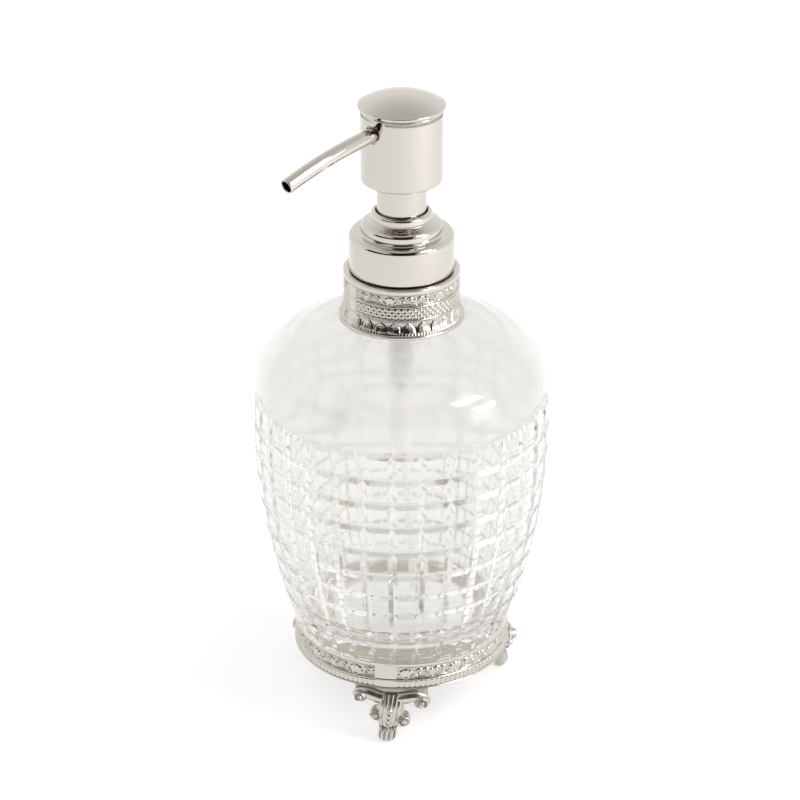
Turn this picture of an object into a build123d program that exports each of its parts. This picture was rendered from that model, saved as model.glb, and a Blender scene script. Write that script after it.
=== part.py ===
from build123d import *
import math
import os

# A footed glass soap dispenser with a press-down pump. Millimetres, +Z up, the Z axis through the
# middle of the bottle, z = 0 on the surface that the three toes stand on, -Y towards the user.

# ---- Bottle ------------------------------------------------------------------------------------------
ring_bottom = 18.9
ring_top = 27.0
ring_radius_bottom = 34.1
ring_radius_top = 33.7
ring_wall = 0.8
ring_bead = 0.35
base_plate_thickness = 1.2
base_plate_bore = 26.0
ring_foot_edge = 0.7
ring_ridge_bottom = 2.7
ring_ridge_top = 4.1
ring_slope = 0.4
glass_bottom = ring_bottom + base_plate_thickness
shoulder_ledge_z = 132.7
glass_ledge_radius = 19.4
glass_neck_radius = 16.3
glass_neck_bore = 11.8
glass_lip_z = 143.2
glass_foot_radius = 31.6
glass_floor_z = 30.5
bottle_outline = [
    (32.7, 27.4), (35.7, 33.8), (38.9, 44.4), (42.5, 59.8), (45.3, 80.8), (45.9, 96.0),
    (45.3, 110.0), (44.3, 117.6), (41.8, 121.7), (34.9, 126.3), (26.5, 130.4),
]
cavity_outline = [
    (26.0, 31.6), (31.6, 36.6), (34.9, 45.5), (38.4, 60.5), (41.1, 81.0), (41.7, 96.0),
    (41.0, 110.0), (38.6, 117.0), (32.0, 122.6), (22.0, 127.6), (14.0, 131.6),
]

# ---- Neck collar and thread (28 mm closure, six threads to the inch) ---------------------------------
collar_top = 148.5
collar_radius = 17.75
collar_flare_radius = 19.2
collar_flare_top = 138.2
collar_wall = 1.2
collar_bead = 0.15
insert_radius = 16.45
insert_plug_bottom = 136.0
insert_top = 148.3
thread_neck_radius = 12.7
thread_crest_radius = 13.6
thread_neck_top = 156.3
thread_bore = 9.8
thread_pitch = 4.233
thread_start_z = 150.3
thread_turns = 1.0
closure_thread_root = 14.0
closure_thread_crest = 13.0

# ---- Closure -----------------------------------------------------------------------------------------
closure_bottom = 148.7
closure_radius = 16.1
closure_wall = 0.7
closure_wall_top = 157.7
closure_shoulder_radius = 13.2
closure_shoulder_z = 160.6
closure_shoulder_arc = 2.9
closure_inner_arc = 2.2
closure_step_radius = 12.3
closure_step_foot = 161.0
closure_step_top = 162.6
closure_step_arc = 1.3
closure_step_bore = 11.6
closure_ring_radius = 11.0
closure_ring_z = 163.9
closure_nose_radius = 9.25
closure_nose_foot = 165.1
closure_nose_top = 166.4
closure_nose_arc = 1.6
closure_nose_bore = 8.5
closure_valley = 0.35
closure_rim_radius = 8.3
closure_top = 167.8
closure_rim_thickness = 0.8
closure_hole = 7.93
liner_gap = 0.05
liner_top = 159.8

# ---- Pump --------------------------------------------------------------------------------------------
gasket_top = 157.5
flange_top = 158.9
flange_radius = 12.9
cup_radius = 9.3
cup_bore = 8.3
cup_floor_top = 152.0
cup_floor_bottom = 150.8
barrel_radius = 4.5
barrel_bore = 3.7
barrel_floor_top = 109.0
valve_chamber_radius = 2.0
valve_chamber_top = 107.9
valve_seat_z = 104.0
valve_seat_radius = 1.1
valve_gate_radius = 1.3
inlet_ball_radius = 1.59
nipple_radius = 3.4
nipple_bottom = 95.0
nipple_stop_z = 101.0
dip_radius = 2.4
dip_bore = 1.7
dip_straight = 7.0
dip_bend_radius = 60.0
dip_bend_angle = 6.0
dip_leaning_length = 52.0
dip_lean_direction = 15.0
ball_seat_gap = 0.02

# ---- Plunger -----------------------------------------------------------------------------------------
stem_radius = 2.5
stem_guide_radius = 2.57
stem_guide_bottom = 146.0
stem_guide_top = 158.0
stem_guide_flange = 1.6
stem_guide_nose = 4.7
stem_foot = 0.6
stem_bottom = 138.2
stem_top = 178.0
stem_channel = 0.9
outlet_seat_z = 170.0
outlet_chamber_radius = 1.7
outlet_chamber_top = 173.8
outlet_ball_radius = 1.3
piston_radius = 3.65
piston_bottom = 139.0
piston_top = 144.6
spring_radius = 2.9
spring_wire = 0.35
spring_turns = 8
spring_bottom = barrel_floor_top + spring_wire
spring_top = stem_bottom - spring_wire

# ---- Head --------------------------------------------------------------------------------------------
sleeve_radius = 7.63
sleeve_wall = 0.6
sleeve_bottom = 165.0
sleeve_flange = 1.4
head_bottom = 177.5
head_radius = 12.44
head_wall = 0.8
head_shoulder_arc = 1.3
head_lip_radius = 10.6
core_top = 199.8
cap_radius = 13.2
cap_rim_z = 200.7
cap_rim_height = 1.0
cap_apex = 205.3
cap_wall = 0.9
cap_skirt_radius = 11.0
dome_edge = cap_radius - 0.3
dome_base = cap_rim_z + cap_rim_height
dome_radius = (dome_edge**2 + (cap_apex - dome_base) ** 2) / (2 * (cap_apex - dome_base))
core_bottom = 168.0
core_hub_radius = 5.2
core_drum_bottom = 186.0
core_drum_radius = 11.5
spout_azimuth = 225.0
spout_z = 195.3
spout_radius = 2.3
spout_bore = 1.8
spout_start = 3.4
spout_straight_end = 9.0
spout_root_radius = 30.0
spout_root_angle = 2.8
spout_bend_radius = 160.0
spout_bend_angle = 13.4
spout_hole_radius = 2.95

# ---- Feet --------------------------------------------------------------------------------------------
foot_names = ["front_foot", "right_foot", "rear_foot"]
foot_azimuths = [-95.5, 22.5, 143.5]
foot_wing_inner = 31.4
foot_wing_outer = 35.3
foot_wing_angle = 38.0
foot_wing_bottom = 13.8
foot_tilt = 6.0
# Each station of the leg: height, distance from the Z axis, width along the ring, depth outwards.
leg_stations = [
    (0.0, 33.9, 3.0, 2.2), (2.2, 34.3, 4.9, 3.6), (5.0, 34.5, 5.8, 3.8), (8.0, 34.6, 9.8, 3.6),
    (11.0, 35.0, 9.4, 4.2), (13.4, 35.0, 8.4, 4.6), (16.6, 34.0, 9.2, 4.0),
]
leg_knob_distance = 35.0
leg_knob_radius = 1.8
leg_knob_z = 9.3
leg_knob_spacing = 9.8
leg_knob_tilt = 9.0
leg_knob_length = 3.4


def half_plane(azimuth):
    """The upright plane through the Z axis whose x runs outwards at an azimuth and whose y is up."""
    angle = math.radians(azimuth)
    outwards = (math.cos(angle), math.sin(angle), 0)
    return Plane(origin=(0, 0, 0), x_dir=outwards, z_dir=(math.sin(angle), -math.cos(angle), 0))


def dome_point(inset, radius):
    """The point of the dome's section at a radius, on the sphere a given inset inside its surface."""
    centre_z = cap_apex - dome_radius
    return (radius, centre_z + math.sqrt((dome_radius - inset) ** 2 - radius**2))


def finish(part, label):
    """Names a finished piece and writes its STEP file."""
    part.label = label
    export_step(part, f"parts/{label}.step")


os.makedirs("parts", exist_ok=True)

# ---- Glass bottle: cut outside and a smooth cavity, turned about Z -----------------------------------
with BuildPart() as glass_bottle:
    with BuildSketch(Plane.XZ) as glass_section:
        with BuildLine() as glass_outline:
            Line((0, glass_bottom), (glass_foot_radius, glass_bottom))
            Line((glass_foot_radius, glass_bottom), bottle_outline[0])
            Spline(*bottle_outline)
            Polyline(
                bottle_outline[-1],
                (glass_ledge_radius, shoulder_ledge_z),
                (glass_neck_radius, shoulder_ledge_z),
                (glass_neck_radius, glass_lip_z),
                (glass_neck_bore, glass_lip_z),
                (glass_neck_bore, insert_plug_bottom - 1.0),
                cavity_outline[-1],
            )
            Spline(*cavity_outline)
            Polyline(cavity_outline[0], (22.0, glass_floor_z), (0, glass_floor_z), (0, glass_bottom))
        make_face()
    revolve(axis=Axis.Z)
finish(glass_bottle.part, "glass_bottle")

# ---- Base ring: the pressed band round the glass foot, with three turned ridges ----------------------
with BuildPart() as base_ring:
    with BuildSketch(Plane.XZ):
        with BuildLine():
            Polyline(
                (ring_radius_bottom - ring_wall, ring_bottom),
                (ring_radius_bottom + ring_bead, ring_bottom),
                (ring_radius_bottom + ring_bead, ring_bottom + ring_foot_edge),
                (ring_radius_bottom, ring_bottom + ring_foot_edge + ring_slope),
                (ring_radius_bottom, ring_bottom + ring_ridge_bottom),
                (ring_radius_bottom + ring_bead, ring_bottom + ring_ridge_bottom + ring_slope),
                (ring_radius_top + ring_bead, ring_bottom + ring_ridge_top - ring_slope),
                (ring_radius_top, ring_bottom + ring_ridge_top),
                (ring_radius_top, ring_top - 2 * ring_slope),
                (ring_radius_top + ring_bead, ring_top - ring_slope),
                (ring_radius_top, ring_top),
                (ring_radius_top - ring_wall, ring_top),
                (ring_radius_bottom - ring_wall, ring_bottom),
                close=True,
            )
        make_face()
    revolve(axis=Axis.Z)
finish(base_ring.part, "base_ring")

# ---- Base plate: the flat ledge inside the ring that carries the glass --------------------------------
with BuildPart() as base_plate:
    with BuildSketch(Plane.XY.offset(ring_bottom)):
        Circle(ring_radius_bottom - ring_wall - 0.05)
        Circle(base_plate_bore, mode=Mode.SUBTRACT)
    extrude(amount=base_plate_thickness)
    fillet(base_plate.edges().group_by(Axis.Z)[-1], 0.3)
finish(base_plate.part, "base_plate")


# ---- Feet: a scrolled leg under a wing that follows the ring -----------------------------------------
def build_foot(label, azimuth):
    """A leg lofted through ellipses, with two scroll knobs, under an arc-shaped wing."""
    foot_plane = Plane.XY.rotated((0, 0, azimuth))
    with BuildPart() as foot:
        for height, distance, width, depth in leg_stations:
            lean = (foot_wing_bottom - height) * math.tan(math.radians(foot_tilt))
            with BuildSketch(foot_plane.offset(height)):
                with Locations((distance, -lean)):
                    Ellipse(depth / 2, width / 2)
        loft()
        knob_origin = foot_plane.from_local_coords((leg_knob_distance - leg_knob_length / 2, 0, leg_knob_z))
        knob_plane = Plane(knob_origin, x_dir=foot_plane.y_dir, z_dir=foot_plane.x_dir)
        with BuildSketch(knob_plane):
            with PolarLocations(leg_knob_spacing / 2, 2, start_angle=-leg_knob_tilt):
                Circle(leg_knob_radius)
        extrude(amount=leg_knob_length)
        with BuildSketch(foot_plane.offset(foot_wing_bottom)):
            with BuildLine():
                inner = CenterArc((0, 0), foot_wing_inner, -foot_wing_angle / 2, foot_wing_angle)
                outer = CenterArc((0, 0), foot_wing_outer, -foot_wing_angle / 2, foot_wing_angle)
                Line(inner @ 0, outer @ 0)
                Line(inner @ 1, outer @ 1)
            make_face()
        extrude(amount=ring_bottom - foot_wing_bottom)
    finish(foot.part, label)


for foot_name, foot_azimuth in zip(foot_names, foot_azimuths):
    build_foot(foot_name, foot_azimuth)

# ---- Neck collar: the pressed band round the glass neck, flared over the shoulder --------------------
with BuildPart() as neck_collar:
    with BuildSketch(Plane.XZ):
        with BuildLine():
            Polyline(
                (glass_neck_radius + 0.2, shoulder_ledge_z),
                (collar_flare_radius, shoulder_ledge_z),
                (collar_flare_radius, shoulder_ledge_z + 1.0),
            )
            RadiusArc((collar_flare_radius, shoulder_ledge_z + 1.0),
                      (collar_radius - 0.2, collar_flare_top), 9.0)
            Polyline(
                (collar_radius - 0.2, collar_flare_top),
                (collar_radius + collar_bead, collar_flare_top + 0.4),
                (collar_radius, collar_flare_top + 0.9),
                (collar_radius, collar_top - 5.9),
                (collar_radius + collar_bead, collar_top - 5.6),
                (collar_radius, collar_top - 5.3),
                (collar_radius, collar_top - 1.5),
                (collar_radius + collar_bead, collar_top - 1.1),
                (collar_radius, collar_top),
                (collar_radius - collar_wall, collar_top),
                (collar_radius - collar_wall, shoulder_ledge_z + 0.6),
                (glass_neck_radius + 0.2, shoulder_ledge_z),
            )
        make_face()
    revolve(axis=Axis.Z)
finish(neck_collar.part, "neck_collar")

# ---- Thread insert: cemented in the glass neck, with the outside thread ------------------------------
with BuildPart() as thread_insert:
    with BuildSketch(Plane.XZ):
        with BuildLine():
            Polyline(
                (thread_bore, insert_plug_bottom),
                (glass_neck_bore - 0.05, insert_plug_bottom),
                (glass_neck_bore - 0.05, glass_lip_z),
                (insert_radius, glass_lip_z),
                (insert_radius, insert_top),
                (thread_neck_radius, insert_top),
                (thread_neck_radius, thread_neck_top),
                (thread_bore, thread_neck_top),
                close=True,
            )
        make_face()
    revolve(axis=Axis.Z)
    with BuildLine() as male_path:
        Helix(thread_pitch, thread_pitch * thread_turns, thread_neck_radius, center=(0, 0, thread_start_z))
    with BuildSketch(Plane(male_path.line @ 0, x_dir=(1, 0, 0), z_dir=male_path.line % 0)):
        with BuildLine():
            Polyline((-0.4, -1.0), (thread_crest_radius - thread_neck_radius, -0.5),
                     (thread_crest_radius - thread_neck_radius, 0.5), (-0.4, 1.0), close=True)
        make_face()
    sweep(path=male_path.line, is_frenet=True)
finish(thread_insert.part, "thread_insert")

# ---- Neck gasket: the foam ring between the threaded neck and the pump's flange ----------------------
with BuildPart() as neck_gasket:
    with BuildSketch(Plane.XY.offset(thread_neck_top)):
        Circle(thread_neck_radius - 0.1)
        Circle(thread_bore - 0.3, mode=Mode.SUBTRACT)
    extrude(amount=gasket_top - thread_neck_top)
finish(neck_gasket.part, "neck_gasket")

# ---- Closure shell: thin spun metal, a straight wall and three rounded steps up to the hole ----------
with BuildPart() as closure_shell:
    with BuildSketch(Plane.XZ):
        with BuildLine():
            wall_bore = closure_radius - closure_wall
            Line((closure_radius, closure_bottom), (closure_radius, closure_wall_top))
            RadiusArc((closure_radius, closure_wall_top), (closure_shoulder_radius, closure_shoulder_z),
                      -closure_shoulder_arc)
            Polyline((closure_shoulder_radius, closure_shoulder_z),
                     (closure_step_radius + closure_valley, closure_shoulder_z),
                     (closure_step_radius, closure_step_foot), (closure_step_radius, closure_step_top))
            RadiusArc((closure_step_radius, closure_step_top), (closure_ring_radius, closure_ring_z),
                      -closure_step_arc)
            Polyline((closure_ring_radius, closure_ring_z),
                     (closure_nose_radius + closure_valley, closure_nose_foot - closure_valley),
                     (closure_nose_radius, closure_nose_foot), (closure_nose_radius, closure_nose_top))
            RadiusArc((closure_nose_radius, closure_nose_top), (closure_rim_radius, closure_top),
                      -closure_nose_arc)
            Polyline((closure_rim_radius, closure_top), (closure_hole, closure_top),
                     (closure_hole, closure_top - closure_rim_thickness),
                     (closure_nose_bore, closure_nose_top), (closure_nose_bore, closure_ring_z - 0.3),
                     (closure_ring_radius, closure_ring_z - closure_rim_thickness),
                     (closure_step_bore, closure_step_top), (closure_step_bore, liner_top + 0.1),
                     (closure_shoulder_radius, liner_top + 0.1))
            RadiusArc((closure_shoulder_radius, liner_top + 0.1), (wall_bore, closure_wall_top),
                      closure_inner_arc)
            Polyline((wall_bore, closure_wall_top), (wall_bore, closure_bottom),
                     (closure_radius, closure_bottom))
        make_face()
    revolve(axis=Axis.Z)
finish(closure_shell.part, "closure_shell")

# ---- Closure liner: the moulded cap inside the shell, with the inside thread -------------------------
with BuildPart() as closure_liner:
    liner_radius = closure_radius - closure_wall - liner_gap
    with BuildSketch(Plane.XZ):
        with BuildLine():
            Polyline(
                (closure_thread_root, closure_bottom + 0.4),
                (liner_radius, closure_bottom + 0.4),
                (liner_radius, closure_wall_top - 0.4),
                (liner_radius - 2.0, liner_top),
                (cup_bore + 0.3, liner_top),
                (cup_bore + 0.3, flange_top),
                (closure_thread_root, flange_top),
                close=True,
            )
        make_face()
    revolve(axis=Axis.Z)
    with BuildLine() as female_path:
        Helix(thread_pitch, thread_pitch * thread_turns, closure_thread_root,
              center=(0, 0, thread_start_z + thread_pitch / 2))
    with BuildSketch(Plane(female_path.line @ 0, x_dir=(1, 0, 0), z_dir=female_path.line % 0)):
        with BuildLine():
            Polyline((0.4, -0.8), (closure_thread_crest - closure_thread_root, -0.4),
                     (closure_thread_crest - closure_thread_root, 0.4), (0.4, 0.8), close=True)
        make_face()
    sweep(path=female_path.line, is_frenet=True)
finish(closure_liner.part, "closure_liner")

# ---- Pump housing: flange, cup, barrel, ball chamber and dip-tube socket -----------------------------
with BuildPart() as pump_housing:
    with BuildSketch(Plane.XZ):
        with BuildLine():
            Polyline(
                (dip_radius, nipple_bottom),
                (nipple_radius, nipple_bottom),
                (nipple_radius, valve_seat_z),
                (barrel_radius, valve_seat_z + 2.0),
                (barrel_radius, cup_floor_bottom),
                (cup_radius, cup_floor_bottom),
                (cup_radius, gasket_top),
                (flange_radius, gasket_top),
                (flange_radius, flange_top),
                (cup_bore, flange_top),
                (cup_bore, cup_floor_top),
                (barrel_bore, cup_floor_top),
                (barrel_bore, barrel_floor_top),
                (valve_gate_radius, barrel_floor_top),
                (valve_gate_radius, valve_chamber_top),
                (valve_chamber_radius, valve_chamber_top),
                (valve_chamber_radius, valve_seat_z),
                (valve_seat_radius, valve_seat_z),
                (valve_seat_radius, nipple_stop_z),
                (dip_radius, nipple_stop_z),
                close=True,
            )
        make_face()
    revolve(axis=Axis.Z)
finish(pump_housing.part, "pump_housing")

# ---- Stem guide: snapped into the cup, keeps the stem straight and holds the piston in ---------------
with BuildPart() as stem_guide:
    with BuildSketch(Plane.XZ):
        with BuildLine():
            Polyline(
                (stem_guide_radius, stem_guide_bottom),
                (barrel_bore - 0.05, stem_guide_bottom),
                (barrel_bore - 0.05, cup_floor_top),
                (cup_bore - 0.05, cup_floor_top),
                (cup_bore - 0.05, cup_floor_top + stem_guide_flange),
                (stem_guide_nose, cup_floor_top + stem_guide_flange),
                (stem_guide_nose, stem_guide_top),
                (stem_guide_radius, stem_guide_top),
                close=True,
            )
        make_face()
    revolve(axis=Axis.Z)
finish(stem_guide.part, "stem_guide")

# ---- Dip tube: straight in its socket, then a short bend and a straight lean -------------------------
with BuildPart() as dip_tube:
    with BuildLine(half_plane(dip_lean_direction)) as dip_path:
        dip_run = Line((0, nipple_stop_z), (0, nipple_stop_z - dip_straight))
        dip_bend = JernArc(dip_run @ 1, dip_run % 1, dip_bend_radius, dip_bend_angle)
        PolarLine(dip_bend @ 1, dip_leaning_length, dip_bend_angle - 90)
    with BuildSketch(Plane.XY.offset(nipple_stop_z)):
        Circle(dip_radius)
        Circle(dip_bore, mode=Mode.SUBTRACT)
    sweep(path=dip_path.line)
finish(dip_tube.part, "dip_tube")

# ---- Return spring: round wire wound between the barrel's floor and the stem -------------------------
with BuildPart() as return_spring:
    with BuildLine() as spring_path:
        Helix((spring_top - spring_bottom) / spring_turns, spring_top - spring_bottom, spring_radius,
              center=(0, 0, spring_bottom))
    with BuildSketch(Plane(spring_path.line @ 0, z_dir=spring_path.line % 0)):
        Circle(spring_wire)
    sweep(path=spring_path.line, is_frenet=True)
finish(return_spring.part, "return_spring")

# ---- Check balls: each rests just clear of its seat's edge -------------------------------------------
inlet_ball_z = valve_seat_z + math.sqrt(inlet_ball_radius**2 - valve_seat_radius**2) + ball_seat_gap
with BuildPart() as inlet_ball:
    with Locations((0, 0, inlet_ball_z)):
        Sphere(inlet_ball_radius)
finish(inlet_ball.part, "inlet_ball")

outlet_ball_z = outlet_seat_z + math.sqrt(outlet_ball_radius**2 - stem_channel**2) + ball_seat_gap
with BuildPart() as outlet_ball:
    with Locations((0, 0, outlet_ball_z)):
        Sphere(outlet_ball_radius)
finish(outlet_ball.part, "outlet_ball")

# ---- Piston rod: the hollow stem, with the outlet ball's chamber near its top ------------------------
with BuildPart() as piston_rod:
    with BuildSketch(Plane.XZ):
        with BuildLine():
            Polyline(
                (stem_channel, stem_bottom),
                (stem_radius + stem_foot, stem_bottom),
                (stem_radius + stem_foot, piston_bottom),
                (stem_radius, piston_bottom),
                (stem_radius, stem_top),
                (stem_channel + 0.1, stem_top),
                (stem_channel + 0.1, outlet_chamber_top),
                (outlet_chamber_radius, outlet_chamber_top),
                (outlet_chamber_radius, outlet_seat_z),
                (stem_channel, outlet_seat_z),
                close=True,
            )
        make_face()
    revolve(axis=Axis.Z)
finish(piston_rod.part, "piston_rod")

# ---- Piston seal: the soft sleeve with a wiping lip at each end --------------------------------------
with BuildPart() as piston_seal:
    with BuildSketch(Plane.XZ):
        with BuildLine():
            Polyline(
                (stem_radius, piston_bottom),
                (piston_radius, piston_bottom),
                (piston_radius - 0.35, piston_bottom + 1.6),
                (piston_radius - 0.35, piston_top - 1.6),
                (piston_radius, piston_top),
                (stem_radius, piston_top),
                close=True,
            )
        make_face()
    revolve(axis=Axis.Z)
finish(piston_seal.part, "piston_seal")

# ---- Actuator core: the moulded block inside the head that joins the stem to the spout ---------------
with BuildPart() as actuator_core:
    with BuildSketch(Plane.XZ):
        with BuildLine():
            Polyline(
                (stem_radius, core_bottom),
                (core_hub_radius, core_bottom),
                (core_hub_radius, core_drum_bottom),
                (core_drum_radius, core_drum_bottom),
                (core_drum_radius, core_top),
                (0, core_top),
                (0, spout_z),
                (stem_channel + 0.1, spout_z),
                (stem_channel + 0.1, stem_top),
                (stem_radius, stem_top),
                close=True,
            )
        make_face()
    revolve(axis=Axis.Z)
    socket_plane = Plane(half_plane(spout_azimuth).from_local_coords((spout_start, spout_z, 0)),
                         x_dir=(0, 0, 1), z_dir=half_plane(spout_azimuth).x_dir)
    with BuildSketch(socket_plane):
        Circle(spout_radius)
    extrude(amount=core_drum_radius, mode=Mode.SUBTRACT)
    with BuildSketch(socket_plane.offset(-spout_start)):
        Circle(stem_channel)
    extrude(amount=spout_start + 0.1, mode=Mode.SUBTRACT)
finish(actuator_core.part, "actuator_core")

# ---- Stem sleeve: the bright tube that runs down into the closure ------------------------------------
with BuildPart() as stem_sleeve:
    with BuildSketch(Plane.XZ):
        with BuildLine():
            Polyline(
                (sleeve_radius - sleeve_wall, sleeve_bottom),
                (sleeve_radius, sleeve_bottom),
                (sleeve_radius, head_bottom + head_wall),
                (sleeve_radius + sleeve_flange, head_bottom + head_wall),
                (sleeve_radius + sleeve_flange, head_bottom + head_wall + sleeve_wall),
                (sleeve_radius - sleeve_wall, head_bottom + head_wall + sleeve_wall),
                close=True,
            )
        make_face()
    revolve(axis=Axis.Z)
finish(stem_sleeve.part, "stem_sleeve")

# ---- Head shell: a drawn cup with the sleeve's hole in its floor and the spout's hole in its side ----
with BuildPart() as head_shell:
    with BuildSketch(Plane.XZ):
        with BuildLine():
            shoulder_z = cap_rim_z - head_shoulder_arc
            lip_z = cap_rim_z - head_wall
            head_bore = head_radius - head_wall
            inner_arc = head_shoulder_arc - head_wall
            Polyline((sleeve_radius + 0.05, head_bottom), (head_radius, head_bottom), (head_radius, shoulder_z))
            RadiusArc((head_radius, shoulder_z), (head_radius - head_shoulder_arc, cap_rim_z),
                      -head_shoulder_arc)
            Polyline((head_radius - head_shoulder_arc, cap_rim_z), (head_lip_radius, cap_rim_z),
                     (head_lip_radius, lip_z), (head_bore - inner_arc, lip_z))
            RadiusArc((head_bore - inner_arc, lip_z), (head_bore, shoulder_z), inner_arc)
            Polyline((head_bore, shoulder_z), (head_bore, head_bottom + head_wall),
                     (sleeve_radius + 0.05, head_bottom + head_wall), (sleeve_radius + 0.05, head_bottom))
        make_face()
    revolve(axis=Axis.Z)
    fillet(head_shell.edges().group_by(Axis.Z)[0].sort_by(SortBy.RADIUS)[-1], 1.2)
    with BuildSketch(socket_plane.offset(core_hub_radius)):
        Circle(spout_hole_radius)
    extrude(amount=head_radius, mode=Mode.SUBTRACT)
finish(head_shell.part, "head_shell")

# ---- Head cap: the domed lid that the thumb presses, with a rounded overhanging rim ------------------
with BuildPart() as head_cap:
    with BuildSketch(Plane.XZ):
        with BuildLine():
            RadiusArc((dome_edge, cap_rim_z), (dome_edge, dome_base), -0.6)
            ThreePointArc((dome_edge, dome_base), dome_point(0, dome_edge / 2), (0, cap_apex))
            Line((0, cap_apex), (0, cap_apex - cap_wall))
            ThreePointArc((0, cap_apex - cap_wall), dome_point(cap_wall, dome_edge / 2),
                          dome_point(cap_wall, cap_skirt_radius))
            Polyline(dome_point(cap_wall, cap_skirt_radius), (cap_skirt_radius, cap_rim_z),
                     (dome_edge, cap_rim_z))
        make_face()
    revolve(axis=Axis.Z)
finish(head_cap.part, "head_cap")

# ---- Spout: a bent tube from the core, level inside the head and then drooping on a long arc ---------
with BuildPart() as spout_tube:
    with BuildLine(half_plane(spout_azimuth)) as spout_path:
        spout_run = Line((spout_start, spout_z), (spout_straight_end, spout_z))
        spout_root = JernArc(spout_run @ 1, spout_run % 1, spout_root_radius, -spout_root_angle)
        JernArc(spout_root @ 1, spout_root % 1, spout_bend_radius, -spout_bend_angle)
    with BuildSketch(socket_plane):
        Circle(spout_radius)
        Circle(spout_bore, mode=Mode.SUBTRACT)
    sweep(path=spout_path.line)
finish(spout_tube.part, "spout_tube")
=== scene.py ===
"""Looks for a footed glass soap dispenser with a press-down pump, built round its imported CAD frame.

It is laid out as a Blender add-on: settings, one operator for each piece or group of like pieces, and a
panel. Sizes are in millimetres inside the shape functions and turned to metres when a mesh is made.
"""

import math

import bmesh
import bpy
import numpy as np
from bpy.props import FloatProperty, FloatVectorProperty, IntProperty, PointerProperty
from mathutils import Matrix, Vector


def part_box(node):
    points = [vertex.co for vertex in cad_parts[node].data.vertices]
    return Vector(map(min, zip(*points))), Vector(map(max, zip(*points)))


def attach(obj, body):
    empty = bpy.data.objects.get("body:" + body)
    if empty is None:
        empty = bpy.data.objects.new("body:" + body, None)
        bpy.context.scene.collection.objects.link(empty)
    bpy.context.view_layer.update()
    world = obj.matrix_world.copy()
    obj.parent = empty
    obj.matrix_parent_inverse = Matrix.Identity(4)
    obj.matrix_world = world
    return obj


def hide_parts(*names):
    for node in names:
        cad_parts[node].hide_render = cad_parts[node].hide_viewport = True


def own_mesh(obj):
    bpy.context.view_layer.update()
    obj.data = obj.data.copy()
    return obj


bl_info = {
    "name": "Soap Dispenser Looks",
    "version": (1, 0, 0),
    "blender": (4, 5, 0),
    "location": "View3D > Sidebar > Dispenser",
    "description": "Builds the visible pieces of a cut-glass soap dispenser round its CAD frame",
    "category": "Add Mesh",
}

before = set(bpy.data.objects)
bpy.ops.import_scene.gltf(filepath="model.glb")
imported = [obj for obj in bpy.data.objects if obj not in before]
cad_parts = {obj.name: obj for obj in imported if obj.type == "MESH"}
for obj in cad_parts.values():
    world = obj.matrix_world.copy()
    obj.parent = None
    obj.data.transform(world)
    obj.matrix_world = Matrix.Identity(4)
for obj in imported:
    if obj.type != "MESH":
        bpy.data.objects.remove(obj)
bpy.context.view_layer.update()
MM = 0.001


def cad_mm(node):
    """The lowest and highest corner of a CAD node in millimetres."""
    low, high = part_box(node)
    return [c / MM for c in low], [c / MM for c in high]


COLLAR_LOW, COLLAR_HIGH = cad_mm("neck_collar")
RING_LOW, RING_HIGH = cad_mm("base_ring")
CLOSURE_LOW, CLOSURE_HIGH = cad_mm("closure_shell")
SLEEVE_LOW, SLEEVE_HIGH = cad_mm("stem_sleeve")
SHELL_LOW, SHELL_HIGH = cad_mm("head_shell")
CAP_LOW, CAP_HIGH = cad_mm("head_cap")
PLATE_LOW, PLATE_HIGH = cad_mm("base_plate")
INSERT_LOW = cad_mm("thread_insert")[0]
SPRING_LOW, SPRING_HIGH = cad_mm("return_spring")

# ---- Glass, in millimetres ------------------------------------------------------------------------
BOTTLE_OUTLINE = [
    (32.7, 27.4), (35.7, 33.8), (38.9, 44.4), (42.5, 59.8), (45.3, 80.8), (45.9, 96.0),
    (45.3, 110.0), (44.3, 117.6), (41.8, 121.7), (34.9, 126.3), (26.5, 130.4), (19.2, 132.6),
]
CAVITY_OUTLINE = [
    (26.0, 31.6), (31.6, 36.6), (34.9, 45.5), (38.4, 60.5), (41.1, 81.0), (41.7, 96.0),
    (41.0, 110.0), (38.6, 117.0), (32.0, 122.6), (22.0, 127.6), (14.0, 131.6), (11.8, 134.6),
]
CUT_ROWS = [106.9, 98.4, 90.3, 81.9, 73.1, 64.2, 56.3, 48.8, 41.3, 33.7, 26.4]
CUT_FIRST_AZIMUTH = -93.6
PLATE_BORE = 26.0
GLASS_FOOT_RADIUS = 31.6
GLASS_FLOOR_Z = 30.5
GLASS_NECK_RADIUS = 16.3
GLASS_NECK_BORE = 11.8
GLASS_LIP_Z = 143.2
SHOULDER_STEPS = 6

# ---- Spout and feet, in millimetres ------------------------------------------------------------------
SPOUT_AZIMUTH = 225.0
SPOUT_Z = 195.3
SPOUT_RADIUS = 2.3
SPOUT_BORE = 1.8
SPOUT_START = 3.6
SPOUT_STRAIGHT_END = 9.0
SPOUT_ROOT_RADIUS = 30.0
SPOUT_ROOT_ANGLE = 2.8
SPOUT_BEND_RADIUS = 160.0
SPOUT_BEND_ANGLE = 13.4
SPOUT_HOLE_RADIUS = 2.9
FOOT_AZIMUTHS = {"front_foot": -95.5, "right_foot": 22.5, "rear_foot": 143.5}
FOOT_RING_RADIUS = 34.0

# ---- Pump, in millimetres ----------------------------------------------------------------------------
SPRING_WIRE = 0.35
SPRING_TURNS = 8
STEM_SLEEVE_RADIUS = 7.63
HEAD_COLUMNS = 136
HOLE_WINDOW = 16

# ---- Emission strengths chosen for the look --------------------------------------------------------------
FLOOR_GLOW = 0.43
SATIN_GLOW = 0.18
MILKY_GLOW = 0.42
STUDIO_STRENGTH = 1.06


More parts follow.
